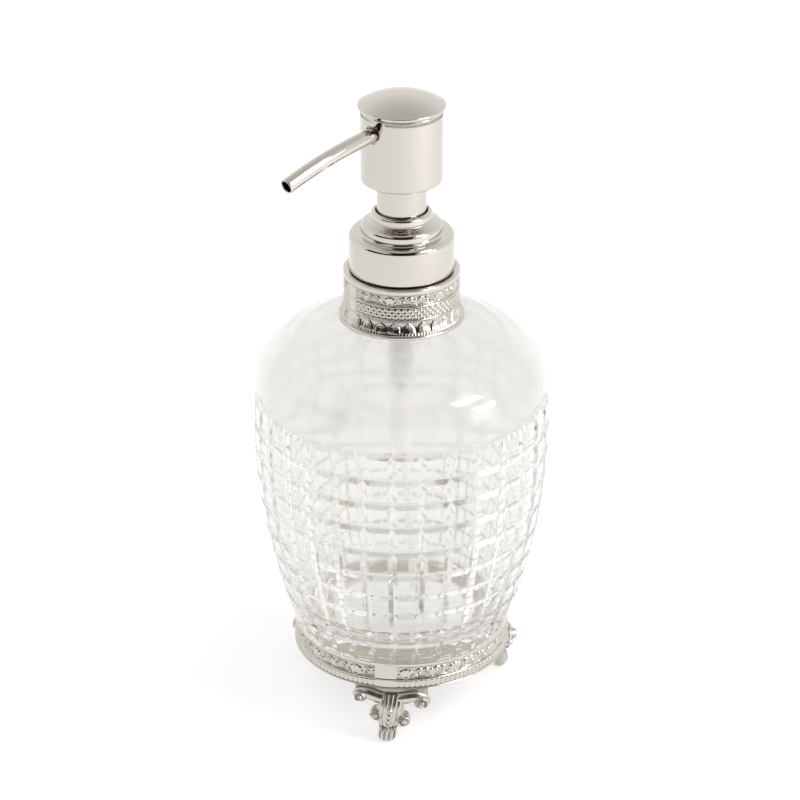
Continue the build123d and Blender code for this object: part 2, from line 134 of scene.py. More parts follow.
# ======== Settings ================================================================================
class GlassSettings(bpy.types.PropertyGroup):
    columns: IntProperty(name="Columns", description="Cut columns round the bottle", default=32, min=8)
    groove_depth: FloatProperty(
        name="Groove depth", description="Depth of the V grooves", default=0.00075, unit="LENGTH")
    bevel: FloatProperty(
        name="Bevel width", description="Half the width of a V groove", default=0.0014, unit="LENGTH")
    tint: FloatVectorProperty(
        name="Tint", description="Colour of the glass", default=(0.882, 0.879, 0.862), subtype="COLOR")
    index: FloatProperty(name="Refractive index", description="Bending of light in the glass", default=1.5)


class MetalSettings(bpy.types.PropertyGroup):
    silver: FloatVectorProperty(
        name="Silver", description="Colour of the polished plate",
        default=(0.588, 0.557, 0.514), subtype="COLOR")
    tarnish: FloatVectorProperty(
        name="Tarnish", description="Colour left in the hollows of the relief",
        default=(0.20, 0.175, 0.14), subtype="COLOR")
    polish: FloatProperty(
        name="Roughness", description="Roughness of the polished plate", default=0.045, min=0.0, max=1.0)
    relief: FloatProperty(
        name="Relief", description="Height of the pressed pattern", default=0.00042, unit="LENGTH")


class StageSettings(bpy.types.PropertyGroup):
    distance: FloatProperty(
        name="Camera distance", description="From the camera to the aim point", default=1.0, unit="LENGTH")
    aim_height: FloatProperty(
        name="Aim height", description="Height of the aim point", default=0.103, unit="LENGTH")
    elevation: FloatProperty(
        name="Camera elevation", description="Angle above the horizon", default=math.radians(27.0),
        subtype="ANGLE")
    lens: FloatProperty(name="Lens", description="Focal length in millimetres", default=144.9)
    floor: FloatVectorProperty(
        name="Floor", description="Colour of the floor", default=(0.64, 0.64, 0.64), subtype="COLOR")


# ======== Shape functions: whole arrays of millimetres ============================================
def smooth_curve(points, count):
    """A natural cubic spline through the points over their chord length, sampled evenly. Its second
    derivatives solve the usual three-band linear system with zero at both ends."""
    p = np.asarray(points, float)
    t = np.concatenate([[0.0], np.cumsum(np.linalg.norm(np.diff(p, axis=0), axis=1))])
    h = np.diff(t)
    n = len(p)
    system = np.eye(n)
    inner = np.arange(1, n - 1)
    system[inner, inner] = 2 * (h[:-1] + h[1:])
    system[inner, inner - 1] = h[:-1]
    system[inner, inner + 1] = h[1:]
    slopes = np.diff(p, axis=0) / h[:, None]
    right = np.zeros_like(p)
    right[1:-1] = 6 * np.diff(slopes, axis=0)
    second = np.linalg.solve(system, right)
    s = np.linspace(0, t[-1], count)
    i = np.clip(np.searchsorted(t, s, side="right") - 1, 0, n - 2)
    a = ((t[i + 1] - s) / h[i])[:, None]
    b = 1 - a
    bend = ((a**3 - a) * second[i] + (b**3 - b) * second[i + 1]) * (h[i] ** 2)[:, None] / 6
    return a * p[i] + b * p[i + 1] + bend


def rounded(corners, steps=7):
    """A profile through (radius, height, fillet) corners: each corner with a fillet becomes an arc that is
    tangent to both of its sides, found by sweeping between its two tangent points."""
    c = np.asarray([k[:2] for k in corners], float)
    out = [c[0]]
    for i in range(1, len(c) - 1):
        fillet = corners[i][2] if len(corners[i]) > 2 else 0.0
        before, after = c[i - 1] - c[i], c[i + 1] - c[i]
        u, v = before / np.linalg.norm(before), after / np.linalg.norm(after)
        half = math.acos(float(np.clip(u @ v, -1, 1))) / 2
        if fillet <= 0 or half > math.pi / 2 - 1e-3:
            out.append(c[i])
            continue
        reach = min(fillet / math.tan(half), 0.49 * np.linalg.norm(before), 0.49 * np.linalg.norm(after))
        radius = reach * math.tan(half)
        middle = (u + v) / np.linalg.norm(u + v)
        centre = c[i] + middle * radius / math.sin(half)
        start, end = c[i] + u * reach - centre, c[i] + v * reach - centre
        a0 = math.atan2(start[1], start[0])
        turn = (math.atan2(end[1], end[0]) - a0 + math.pi) % (2 * math.pi) - math.pi
        angles = a0 + turn * np.linspace(0, 1, steps)
        out.extend(centre + radius * np.stack([np.cos(angles), np.sin(angles)], -1))
    out.append(c[-1])
    return np.array(out)


def grid_faces(rows, columns, wrap_columns=False, wrap_rows=False):
    """Quads of a grid whose vertices run row by row. Seen with the rows going down and the columns going
    to the right, the faces look towards the viewer."""
    r = np.arange(rows if wrap_rows else rows - 1)
    c = np.arange(columns if wrap_columns else columns - 1)
    rr, cc = np.meshgrid(r, c, indexing="ij")
    down, right = (rr + 1) % rows, (cc + 1) % columns
    quads = [rr * columns + cc, down * columns + cc, down * columns + right, rr * columns + right]
    return np.stack(quads, -1).reshape(-1, 4)


def turned(profile, columns, start=0.0):
    """A profile of (radius, height) rows turned about Z: each row becomes a circle of that radius."""
    angles = start + np.arange(columns) * 2 * math.pi / columns
    r, z = np.asarray(profile)[:, 0, None], np.asarray(profile)[:, 1, None]
    points = np.stack([r * np.cos(angles), r * np.sin(angles), z + 0 * angles], -1)
    return points.reshape(-1, 3), grid_faces(len(profile), columns, wrap_columns=True)


def around(radius, angle, z):
    """Points at a radius and an angle about Z and at a height."""
    return np.stack(np.broadcast_arrays(radius * np.cos(angle), radius * np.sin(angle), z), -1)


def highest(*fields):
    """The highest of several height fields at every point."""
    return np.maximum.reduce(np.broadcast_arrays(*fields))


def soft_step(x, edge):
    """Rises from 0 to 1 as x goes from 0 to edge, with level ends."""
    t = np.clip(x / edge, 0, 1)
    return t * t * (3 - 2 * t)


def spiral_ridge(du, dv, size, turns, width, hand):
    """A ridge along a spiral whose radius falls evenly from size to nothing: for every whole turn the
    distance to the spiral's arm is taken, and the nearest arm gives a rounded ridge."""
    rho = np.hypot(du, dv)
    phi = np.mod(np.arctan2(dv, du * hand), 2 * math.pi) / (2 * math.pi)
    height = np.zeros_like(rho)
    for lap in range(int(math.ceil(turns)) + 1):
        along = lap + phi
        arm = size * (1 - along / turns)
        near = np.exp(-(((rho - arm) / width) ** 2)) * (along <= turns)
        height = np.maximum(height, near)
    boss = np.sqrt(np.clip(1 - (rho / (width * 1.6)) ** 2, 0, 1))
    return np.maximum(height, boss)


def palmette(du, v, height, spread, ribs):
    """A fan of ribs from a root at the band's foot: the angle from the root is cut into ribs by a cosine,
    inside a round outline that falls off softly, over a small round root."""
    rho = np.hypot(du, v + 0.12 * height)
    phi = np.arctan2(du, v + 0.12 * height)
    reach = height * (1.1 - 0.30 * (phi / spread) ** 2)
    fan = soft_step(reach - rho, 0.18 * height) * soft_step(spread - np.abs(phi), 0.12)
    rib = 0.25 + 0.75 * np.abs(np.cos(phi / spread * ribs * math.pi / 2)) ** 0.8
    tips = 0.85 + 0.15 * soft_step(rho - 0.6 * reach, 0.3 * height)
    root = np.sqrt(np.clip(1 - (du**2 + v**2) / (0.24 * height) ** 2, 0, 1))
    return np.maximum(fan * rib * tips * soft_step(rho - 0.22 * height, 0.2 * height), root)


def scroll_frieze(u, v, height, pitch):
    """Palmettes a pitch apart. On each side stand a C scroll curling inwards, a smaller one curling
    outwards and half an upright bud, tied together by a wavy stem; v runs from 0 to the band's height."""
    side = np.abs((u / pitch - np.round(u / pitch)) * pitch)
    size = height * 0.42
    width = 0.23
    fan = palmette(side, v, height * 0.92, 1.2, 5)
    inner = spiral_ridge(side - 0.25 * pitch, v - 0.46 * height, size, 1.3, width, 1)
    outer = spiral_ridge(side - 0.40 * pitch, v - 0.56 * height, size * 0.8, 1.2, width, -1)
    stem_line = height * (0.10 + 0.05 * np.cos(side / pitch * 6 * math.pi))
    stem = np.exp(-(((v - stem_line) / 0.22) ** 2)) * soft_step(side - 0.10 * pitch, 0.3)
    bud = palmette(side - 0.5 * pitch, v, height * 0.8, 0.5, 3)
    hatch = 0.16 + 0.10 * np.cos((side + v) * 2 * math.pi / 0.8)
    return highest(fan, 0.9 * inner, 0.9 * outer, 0.6 * stem, 0.85 * bud, hatch)


def diamond_weave(u, v, pitch):
    """Small pyramids on a slanting lattice: the product of two rectified waves that cross."""
    a = math.pi * (u / pitch + v / pitch)
    b = math.pi * (u / pitch - v / pitch)
    return np.abs(np.sin(a) * np.sin(b)) ** 0.7


def acanthus(u, v, height, pitch):
    """Upright leaves: each has a raised outline that narrows upwards, a sharp midrib and slanting veins."""
    du = np.abs((u / pitch - np.round(u / pitch)) * pitch)
    t = np.clip(v / height, 0, 1)
    half = 0.47 * pitch * np.sqrt(np.clip(1 - (t - 0.35) ** 2 / 0.45, 0, 1))
    blade = soft_step(half - du, 0.16 * pitch)
    veins = 0.7 + 0.3 * np.abs(np.sin(math.pi * (v + 1.4 * du) / (0.2 * height)))
    rib = np.exp(-((du / (0.055 * pitch)) ** 2))
    return np.maximum(blade * veins * (1 - 0.35 * du / pitch), 0.95 * rib)


def plain_patch(angle, centre, half):
    """1 round most of the circle, falling to 0 over the plain strip where the band's ends overlap."""
    away = np.abs((angle - centre + math.pi) % (2 * math.pi) - math.pi)
    return soft_step(away - half, 0.03)


# ======== Mesh making =============================================================================
def make_piece(name, shells, materials, body, replaces=(), sharp=30.0, relief=None):
    """Joins shells of (points in mm, faces, material number if not 0) into one mesh object at the origin,
    merges seams and poles, marks edges sharper than an angle, and hangs it on its CAD body."""
    points, faces, finishes, offset = [], [], [], 0
    for shell_points, shell_faces, *finish in shells:
        shell_points = np.asarray(shell_points, float).reshape(-1, 3)
        points.append(shell_points)
        finishes.extend((finish or [0]) * len(shell_faces))
        if isinstance(shell_faces, np.ndarray):
            faces.extend((shell_faces + offset).tolist())
        else:
            faces.extend([[i + offset for i in f] for f in shell_faces])
        offset += len(shell_points)
    mesh = bpy.data.meshes.new(name)
    mesh.from_pydata((np.concatenate(points) * MM).tolist(), [], faces)
    for material in materials:
        mesh.materials.append(material)
    mesh.polygons.foreach_set("material_index", finishes)
    if relief is not None:
        attribute = mesh.attributes.new("relief", "FLOAT", "POINT")
        attribute.data.foreach_set("value", np.asarray(relief, np.float32).ravel())
    work = bmesh.new()
    work.from_mesh(mesh)
    bmesh.ops.remove_doubles(work, verts=work.verts, dist=1e-7)
    bmesh.ops.dissolve_degenerate(work, dist=1e-8, edges=work.edges)
    work.to_mesh(mesh)
    work.free()
    mesh.shade_smooth()
    mesh.set_sharp_from_angle(angle=math.radians(sharp))
    mesh.update()
    piece = bpy.data.objects.new(name, mesh)
    bpy.context.scene.collection.objects.link(piece)
    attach(piece, body)
    if replaces:
        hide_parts(*replaces)
    return piece


# ======== Materials ===============================================================================
def new_material(name):
    """A node material with its Principled shader, and the shader and the node tree."""
    material = bpy.data.materials.new(name)
    material.use_nodes = True
    tree = material.node_tree
    return material, tree, tree.nodes["Principled BSDF"]


def add_node(tree, kind, **values):
    """A node with its named inputs set, or its own settings where no input has that name."""
    node = tree.nodes.new(kind)
    for key, value in values.items():
        if key in node.inputs:
            node.inputs[key].default_value = value
        else:
            setattr(node, key, value)
    return node


def noise(tree, scale, detail=2.0):
    """Noise over Object coordinates, so that it stays with the piece."""
    place = add_node(tree, "ShaderNodeTexCoord")
    texture = add_node(tree, "ShaderNodeTexNoise", Scale=scale, Detail=detail)
    tree.links.new(place.outputs["Object"], texture.inputs["Vector"])
    return texture


def add_range(tree, source, low, high, from_low=0.0, from_high=1.0):
    """A number carried from one range to another."""
    node = add_node(tree, "ShaderNodeMapRange")
    node.inputs["From Min"].default_value = from_low
    node.inputs["From Max"].default_value = from_high
    node.inputs["To Min"].default_value = low
    node.inputs["To Max"].default_value = high
    tree.links.new(source, node.inputs["Value"])
    return node.outputs["Result"]


def add_bump(tree, shader, source, strength, distance):
    """A bump from a height, on the shader's normal."""
    bump = add_node(tree, "ShaderNodeBump", Strength=strength, Distance=distance)
    tree.links.new(source, bump.inputs["Height"])
    tree.links.new(bump.outputs["Normal"], shader.inputs["Normal"])


def polished_silver(settings):
    """Bright plate: slightly uneven polish and the faintest ripple from spinning."""
    material, tree, shader = new_material("polished_silver")
    shader.inputs["Base Color"].default_value = (*settings.silver, 1)
    shader.inputs["Metallic"].default_value = 1.0
    smudge = noise(tree, 90.0, 3.0)
    tree.links.new(add_range(tree, smudge.outputs["Fac"], settings.polish * 0.6, settings.polish * 1.8),
                   shader.inputs["Roughness"])
    ripple = noise(tree, 160.0, 1.0)
    add_bump(tree, shader, ripple.outputs["Fac"], 0.02, 0.0002)
    return material


def pressed_silver(settings, name, hollow_roughness, raised_roughness):
    """Embossed plate: bright on the raised pattern, tarnished brown in its hollows, worn unevenly."""
    material, tree, shader = new_material(name)
    shader.inputs["Metallic"].default_value = 1.0
    height = add_node(tree, "ShaderNodeAttribute", attribute_name="relief")
    wear = noise(tree, 240.0, 4.0)
    worn = add_node(tree, "ShaderNodeMath", operation="MULTIPLY_ADD")
    tree.links.new(wear.outputs["Fac"], worn.inputs[0])
    worn.inputs[1].default_value = 0.35
    tree.links.new(height.outputs["Fac"], worn.inputs[2])
    mix = add_node(tree, "ShaderNodeMix", data_type="RGBA")
    mix.inputs[6].default_value = (*settings.tarnish, 1)
    mix.inputs[7].default_value = (*settings.silver, 1)
    tree.links.new(add_range(tree, worn.outputs["Value"], 0.0, 1.0, 0.26, 0.9), mix.inputs["Factor"])
    tree.links.new(mix.outputs[2], shader.inputs["Base Color"])
    tree.links.new(add_range(tree, worn.outputs["Value"], hollow_roughness, raised_roughness, 0.2, 0.9),
                   shader.inputs["Roughness"])
    return material


def satin_silver_painted_light(settings):
    """Plate left dull where it isn't seen: the same metal with fine brushing, but its base colour is
    brightened 1.55 times and it carries a low glow; both are painted light standing in for the light that
    gathers between the glass and the metal."""
    material, tree, shader = new_material("satin_silver_painted_light")
    shader.inputs["Base Color"].default_value = (*[min(1, c * 1.55) for c in settings.silver], 1)
    shader.inputs["Metallic"].default_value = 1.0
    shader.inputs["Emission Color"].default_value = (1.0, 0.97, 0.93, 1)
    shader.inputs["Emission Strength"].default_value = SATIN_GLOW
    brushing = noise(tree, 700.0, 3.0)
    tree.links.new(add_range(tree, brushing.outputs["Fac"], 0.35, 0.55), shader.inputs["Roughness"])
    return material


def clear_glass(settings, name, haze):
    """Clear glass with a barely visible flow in its surface, and a haze where it was blown, not polished."""
    material, tree, shader = new_material(name)
    shader.inputs["Base Color"].default_value = (*settings.tint, 1)
    shader.inputs["Transmission Weight"].default_value = 1.0
    shader.inputs["IOR"].default_value = settings.index
    flow = noise(tree, 45.0, 1.0)
    tree.links.new(add_range(tree, flow.outputs["Fac"], haze, haze + 0.012), shader.inputs["Roughness"])
    add_bump(tree, shader, flow.outputs["Fac"], 0.05, 0.0004)
    return material


def moulded_plastic(name, colour, roughness, clear=0.0):
    """Moulded plastic: even colour that drifts a little and a fine mould texture. Milky plastic lets some
    light straight through, and a low glow stands for the light that scatters inside it."""
    material, tree, shader = new_material(name)
    shader.inputs["Alpha"].default_value = 1 - clear
    shader.inputs["Emission Color"].default_value = (*colour, 1)
    shader.inputs["Emission Strength"].default_value = MILKY_GLOW * clear
    shader.inputs["IOR"].default_value = 1.46
    drift = noise(tree, 40.0, 1.0)
    mix = add_node(tree, "ShaderNodeMix", data_type="RGBA")
    mix.inputs[6].default_value = (*[c * 0.97 for c in colour], 1)
    mix.inputs[7].default_value = (*colour, 1)
    tree.links.new(drift.outputs["Fac"], mix.inputs["Factor"])
    tree.links.new(mix.outputs[2], shader.inputs["Base Color"])
    grain = noise(tree, 4000.0, 2.0)
    tree.links.new(add_range(tree, grain.outputs["Fac"], roughness * 0.8, roughness * 1.2),
                   shader.inputs["Roughness"])
    add_bump(tree, shader, grain.outputs["Fac"], 0.02, 0.00002)
    return material


def drawn_steel():
    """Spring wire and balls: plain steel with fine drawing marks."""
    material, tree, shader = new_material("drawn_steel")
    shader.inputs["Base Color"].default_value = (0.58, 0.58, 0.6, 1)
    shader.inputs["Metallic"].default_value = 1.0
    marks = noise(tree, 1500.0, 4.0)
    tree.links.new(add_range(tree, marks.outputs["Fac"], 0.15, 0.35), shader.inputs["Roughness"])
    return material


def foam(colour):
    """Foamed gasket: matt, with small open cells."""
    material, tree, shader = new_material("gasket_foam")
    shader.inputs["Base Color"].default_value = (*colour, 1)
    cells = noise(tree, 2500.0, 2.0)
    tree.links.new(add_range(tree, cells.outputs["Fac"], 0.7, 0.95), shader.inputs["Roughness"])
    add_bump(tree, shader, cells.outputs["Fac"], 0.4, 0.0001)
    return material


def floor_material(settings):
    """Plain pale floor, lit a little from below, with the faintest unevenness."""
    material, tree, shader = new_material("studio_floor")
    shader.inputs["Base Color"].default_value = (*settings.floor, 1)
    shader.inputs["Emission Color"].default_value = (1, 1, 1, 1)
    shader.inputs["Emission Strength"].default_value = FLOOR_GLOW
    shader.inputs["Specular IOR Level"].default_value = 0.0
    uneven = noise(tree, 3.0, 2.0)
    tree.links.new(add_range(tree, uneven.outputs["Fac"], 0.9, 1.0), shader.inputs["Roughness"])
    return material


def material_named(name, make, *values):
    """The material of that name, made on first use."""
    return bpy.data.materials.get(name) or make(*values)


def silver():
    return material_named("polished_silver", polished_silver, bpy.context.scene.dispenser_metal)


def embossed():
    return material_named("pressed_silver", pressed_silver, bpy.context.scene.dispenser_metal,
                          "pressed_silver", 0.40, 0.12)


def cast():
    return material_named("cast_silver", pressed_silver, bpy.context.scene.dispenser_metal,
                          "cast_silver", 0.50, 0.27)


# ======== Glass bottle ============================================================================
def radius_at(outline, z):
    """The outline's radius at a height, read from its dense spline."""
    curve = smooth_curve(outline, 800)
    order = np.argsort(curve[:, 1])
    return np.interp(z, curve[order, 1], curve[order, 0])


def cut_band(columns, depth, bevel):
    """The cut part of the glass. Grooves cross at points sunk by the depth; in every cell between them a
    flat square stands at the full radius, a bevel in from each groove, and four bevels slope to it."""
    z = np.array(CUT_ROWS)
    step = 2 * math.pi / columns
    angle = math.radians(CUT_FIRST_AZIMUTH) + np.arange(columns) * step
    crossing = around((radius_at(BOTTLE_OUTLINE, z) - depth)[:, None], angle[None, :], z[:, None])
    rows = len(z) - 1
    shapes = [crossing.reshape(-1, 3)]
    corner_start, corners = crossing.shape[0] * columns, []
    for height in (z[:-1] - bevel, z[1:] + bevel):
        r = radius_at(BOTTLE_OUTLINE, height)[:, None]
        corners.append(around(r, angle[None, :] + bevel / r, height[:, None]))
        corners.append(around(r, angle[None, :] + step - bevel / r, height[:, None]))
    shapes.extend(c.reshape(-1, 3) for c in corners)
    r, k = np.meshgrid(np.arange(rows), np.arange(columns), indexing="ij")
    right = (k + 1) % columns
    top_left, top_right = r * columns + k, r * columns + right
    low_left, low_right = (r + 1) * columns + k, (r + 1) * columns + right
    ul, ur, ll, lr = [corner_start + i * rows * columns + r * columns + k for i in range(4)]
    quads = [(ul, ll, lr, ur), (top_left, ul, ur, top_right), (top_left, low_left, ll, ul),
             (low_left, low_right, lr, ll), (low_right, top_right, ur, lr)]
    faces = np.concatenate([np.stack(q, -1).reshape(-1, 4) for q in quads])
    return np.concatenate(shapes), faces, angle


def edge_bevels(columns, angle, row_z, row_radius, ring_z, ring_radius, upwards):
    """The slope from the last groove to a smooth ring: one face per column, from the straight groove below
    to the finely divided ring above, or the other way round under the cut part."""
    parts = np.arange(SHOULDER_STEPS + 1) / SHOULDER_STEPS
    step = 2 * math.pi / columns
    fine = around(ring_radius, angle[:, None] + parts[None, :] * step, ring_z)
    left = around(row_radius, angle, row_z)[:, None, :]
    right = around(row_radius, angle + step, row_z)[:, None, :]
    if upwards:
        loop = np.concatenate([left, right, fine[:, ::-1]], axis=1)
    else:
        loop = np.concatenate([right, left, fine], axis=1)
    size = loop.shape[1]
    return loop.reshape(-1, 3), np.arange(columns * size).reshape(columns, size)


class DISPENSER_OT_glass(bpy.types.Operator):
    """Build the cut-glass bottle with its cavity"""

    bl_idname = "dispenser.glass"
    bl_label = "Glass bottle"

    def execute(self, context):
        settings = context.scene.dispenser_glass
        depth, bevel = settings.groove_depth / MM, settings.bevel / MM
        band_points, band_faces, angle = cut_band(settings.columns, depth, bevel)
        fine = settings.columns * SHOULDER_STEPS
        top_z, low_z = CUT_ROWS[0] + bevel, CUT_ROWS[-1] - bevel
        curve = smooth_curve(BOTTLE_OUTLINE, 240)
        shoulder = curve[curve[:, 1] > top_z + 0.3]
        shoulder = np.concatenate([[[radius_at(BOTTLE_OUTLINE, top_z), top_z]], shoulder])
        neck = rounded([shoulder[-1], (GLASS_NECK_RADIUS, COLLAR_LOW[2] + 0.6, 0.5),
                        (GLASS_NECK_RADIUS, GLASS_LIP_Z, 0.8), (GLASS_NECK_BORE, GLASS_LIP_Z, 0.8),
                        (GLASS_NECK_BORE, INSERT_LOW[2] - 1.0), CAVITY_OUTLINE[-1]])
        cavity = smooth_curve(CAVITY_OUTLINE, 90)[::-1]
        floor = rounded([cavity[-1], (22.5, GLASS_FLOOR_Z, 4.0), (0, GLASS_FLOOR_Z)])
        outside = np.concatenate([shoulder[:-1], neck])
        inside = np.concatenate([cavity, floor[1:]])
        split = int(np.argmax(inside[:, 1] < CUT_ROWS[0]))
        low_radius = radius_at(BOTTLE_OUTLINE, CUT_ROWS[-1]) - depth
        foot = rounded([(0, PLATE_HIGH[2]), (GLASS_FOOT_RADIUS, PLATE_HIGH[2], 1.0), (low_radius, low_z)])
        start = math.radians(CUT_FIRST_AZIMUTH)
        shells = [
            (band_points, band_faces), turned(outside[::-1], fine, start), turned(foot[::-1], fine, start),
            (*turned(inside[split::-1], fine, start), 1), (*turned(inside[:split - 1:-1], fine, start), 2),
            edge_bevels(settings.columns, angle, CUT_ROWS[0], radius_at(BOTTLE_OUTLINE, CUT_ROWS[0]) - depth,
                        top_z, radius_at(BOTTLE_OUTLINE, top_z), True),
            edge_bevels(settings.columns, angle, CUT_ROWS[-1], low_radius, low_z, low_radius, False),
        ]
        polished = material_named("polished_glass", clear_glass, settings, "polished_glass", 0.0)
        blown = material_named("blown_glass", clear_glass, settings, "blown_glass", 0.19)
        pressed = material_named("pressed_glass", clear_glass, settings, "pressed_glass", 0.11)
        make_piece("cut_glass_bottle", shells, [polished, blown, pressed], "bottle",
                   ["glass_bottle"], sharp=9.0)
        return {"FINISHED"}


# ======== Pressed bands ===========================================================================
class DISPENSER_OT_collar(bpy.types.Operator):
    """Build the pressed neck collar with its friezes"""

    bl_idname = "dispenser.collar"
    bl_label = "Neck collar"

    def execute(self, context):
        settings = context.scene.dispenser_metal
        relief = settings.relief / MM
        low, high = COLLAR_LOW[2], COLLAR_HIGH[2]
        columns = 780
        angle = np.arange(columns) * 2 * math.pi / columns
        profile = smooth_curve([(19.1, low), (19.0, low + 0.9), (18.3, low + 2.4), (17.6, low + 4.6),
                                (17.55, low + 6.0), (17.55, high - 1.0), (17.55, high - 0.25)], 112)
        r, z = profile[:, 0, None], profile[:, 1, None]
        u, v = angle[None, :] * 17.6, z - low
        plain = plain_patch(angle[None, :], math.radians(-148.0), 0.09)
        circumference = 2 * math.pi * 17.6
        top = high - low

        def within(start, end, soft=0.12):
            return soft_step(v - start, soft) * soft_step(end - v, soft)

        flute = np.abs(np.cos(math.pi * u / (circumference / 120))) ** 0.8
        leaves = acanthus(u, v - 1.3, 3.6, circumference / 26)
        height = highest(
            within(0.0, 1.0) * 1.0,
            within(1.15, 2.3) * (0.25 + 0.5 * flute) * plain,
            within(1.9, 5.3) * np.maximum(0.35 * flute, leaves) * plain,
            within(5.4, 6.05) * 0.95,
            within(6.15, 9.7) * (0.15 + 0.75 * diamond_weave(u, v, circumference / 56)) * plain,
            within(9.8, 10.5) * 0.95,
            within(10.6, 14.0) * scroll_frieze(u - 0.3, v - 10.6, 3.4, circumference / 7) * plain,
            within(14.1, top + 0.5) * 1.0 + 0 * u,
            (1 - plain) * 0.62 * within(1.15, 14.0))
        outer = around(r + relief * (height - 0.35), angle[None, :], z + 0 * u)
        inner_profile = rounded([(17.55 + 0.65 * relief, high - 0.25), (17.3, high, 0.12),
                                 (16.5, high), (16.5, low + 0.8), (17.2, low), (19.1, low)])
        ring = around(inner_profile[:, 0, None], angle[None, :], inner_profile[:, 1, None])
        ring[0], ring[-1] = outer[-1], outer[0]
        shells = [(outer[::-1], grid_faces(len(profile), columns, wrap_columns=True)),
                  (ring[::-1], grid_faces(len(inner_profile), columns, wrap_columns=True))]
        value = np.concatenate([0.42 + 0.62 * height[::-1].ravel(), np.full(ring.shape[0] * columns, 1.0)])
        make_piece("pressed_neck_collar", shells, [embossed()], "bottle", ["neck_collar"],
                   sharp=80.0, relief=value)
        return {"FINISHED"}


class DISPENSER_OT_ring(bpy.types.Operator):
    """Build the pressed base ring and the plate it stands round"""

    bl_idname = "dispenser.ring"
    bl_label = "Base ring"

    def execute(self, context):
        settings = context.scene.dispenser_metal
        relief = settings.relief / MM * 1.1
        low, high = RING_LOW[2], RING_HIGH[2]
        columns, rows = 1320, 64
        angle = np.arange(columns) * 2 * math.pi / columns
        z = np.linspace(low, high, rows)[:, None]
        v = z - low
        r = 34.05 - 0.35 * v / (high - low)
        u = angle[None, :] * 34.0
        plain = plain_patch(angle[None, :], math.radians(-98.5), 0.085)
        circumference = 2 * math.pi * 34.0
        top = high - low

        def within(start, end, soft=0.12):
            return soft_step(v - start, soft) * soft_step(end - v, soft)

        leaves = acanthus(u, v - 0.5, 2.4, circumference / 128)
        height = highest(
            within(-0.5, 0.4) * 0.9 + 0 * u,
            within(0.45, 2.7) * (0.2 + 0.6 * leaves) * plain,
            within(2.75, 3.35) * 1.0,
            within(3.4, top - 0.5) * scroll_frieze(u + 2.7, v - 3.4, top - 3.9, circumference / 13) * plain,
            within(top - 0.45, top + 0.5) * 0.95,
            (1 - plain) * 0.6 * within(0.4, top - 0.4))
        outer = around(r + relief * (height - 0.3), angle[None, :], z + 0 * u)
        inner_profile = np.array([(33.6, high), (33.05, high), (33.25, low), (34.0, low)])
        ring = around(inner_profile[:, 0, None], angle[None, :], inner_profile[:, 1, None])
        ring[0], ring[-1] = outer[-1], outer[0]
        shells = [(outer[::-1], grid_faces(rows, columns, wrap_columns=True)),
                  (ring[::-1], grid_faces(len(inner_profile), columns, wrap_columns=True), 1)]
        value = np.concatenate([0.46 + 0.60 * height[::-1].ravel(), np.full(ring.shape[0] * columns, 1.0)])
        # Satin with painted light (brightened colour and a glow) for the ring's inner face and the plate,
        # which sit in shade between the glass and the ring.
        painted_light_satin = material_named("satin_silver_painted_light", satin_silver_painted_light, settings)
        make_piece("pressed_base_ring", shells, [embossed(), painted_light_satin], "bottle", ["base_ring"],
                   sharp=80.0, relief=value)
        plate = rounded([(PLATE_BORE, PLATE_LOW[2] + 0.5), (PLATE_BORE, PLATE_LOW[2], 0.2),
                         (PLATE_HIGH[0], PLATE_LOW[2], 0.2), (PLATE_HIGH[0], PLATE_HIGH[2] - 0.02, 0.3),
                         (PLATE_BORE, PLATE_HIGH[2] - 0.02, 0.3), (PLATE_BORE, PLATE_LOW[2] + 0.5)])
        make_piece("spun_base_plate", [turned(plate[::-1], 160)], [painted_light_satin], "bottle",
                   ["base_plate"])
        return {"FINISHED"}


# ======== Feet ====================================================================================
def tube(path, across, up, half_width, half_height, sides=20, ribs=0, rib_height=0.0):
    """An oval section carried along a path: each row is the path's point plus a cosine of the angle along one
    side vector and a sine along the other, sized row by row by the given half widths and half heights. Ribs
    ripple the oval."""
    psi = np.arange(sides) * 2 * math.pi / sides
    ripple = 1 + rib_height * np.abs(np.cos(ribs * psi / 2)) if ribs else np.ones(sides)
    side = (half_width[:, None] * np.cos(psi) * ripple)[..., None] * across[:, None, :]
    rise = (half_height[:, None] * np.sin(psi) * ripple)[..., None] * up[:, None, :]
    points = path[:, None, :] + side + rise
    return points.reshape(-1, 3), grid_faces(len(path), sides, wrap_columns=True)


def bent_to_ring(points, azimuth):
    """Foot coordinates (distance from Z, way along the ring, height) wrapped round the ring's circle."""
    p = np.asarray(points, float)
    turn = math.radians(azimuth) + p[..., 1] / FOOT_RING_RADIUS
    return around(p[..., 0], turn, p[..., 2])


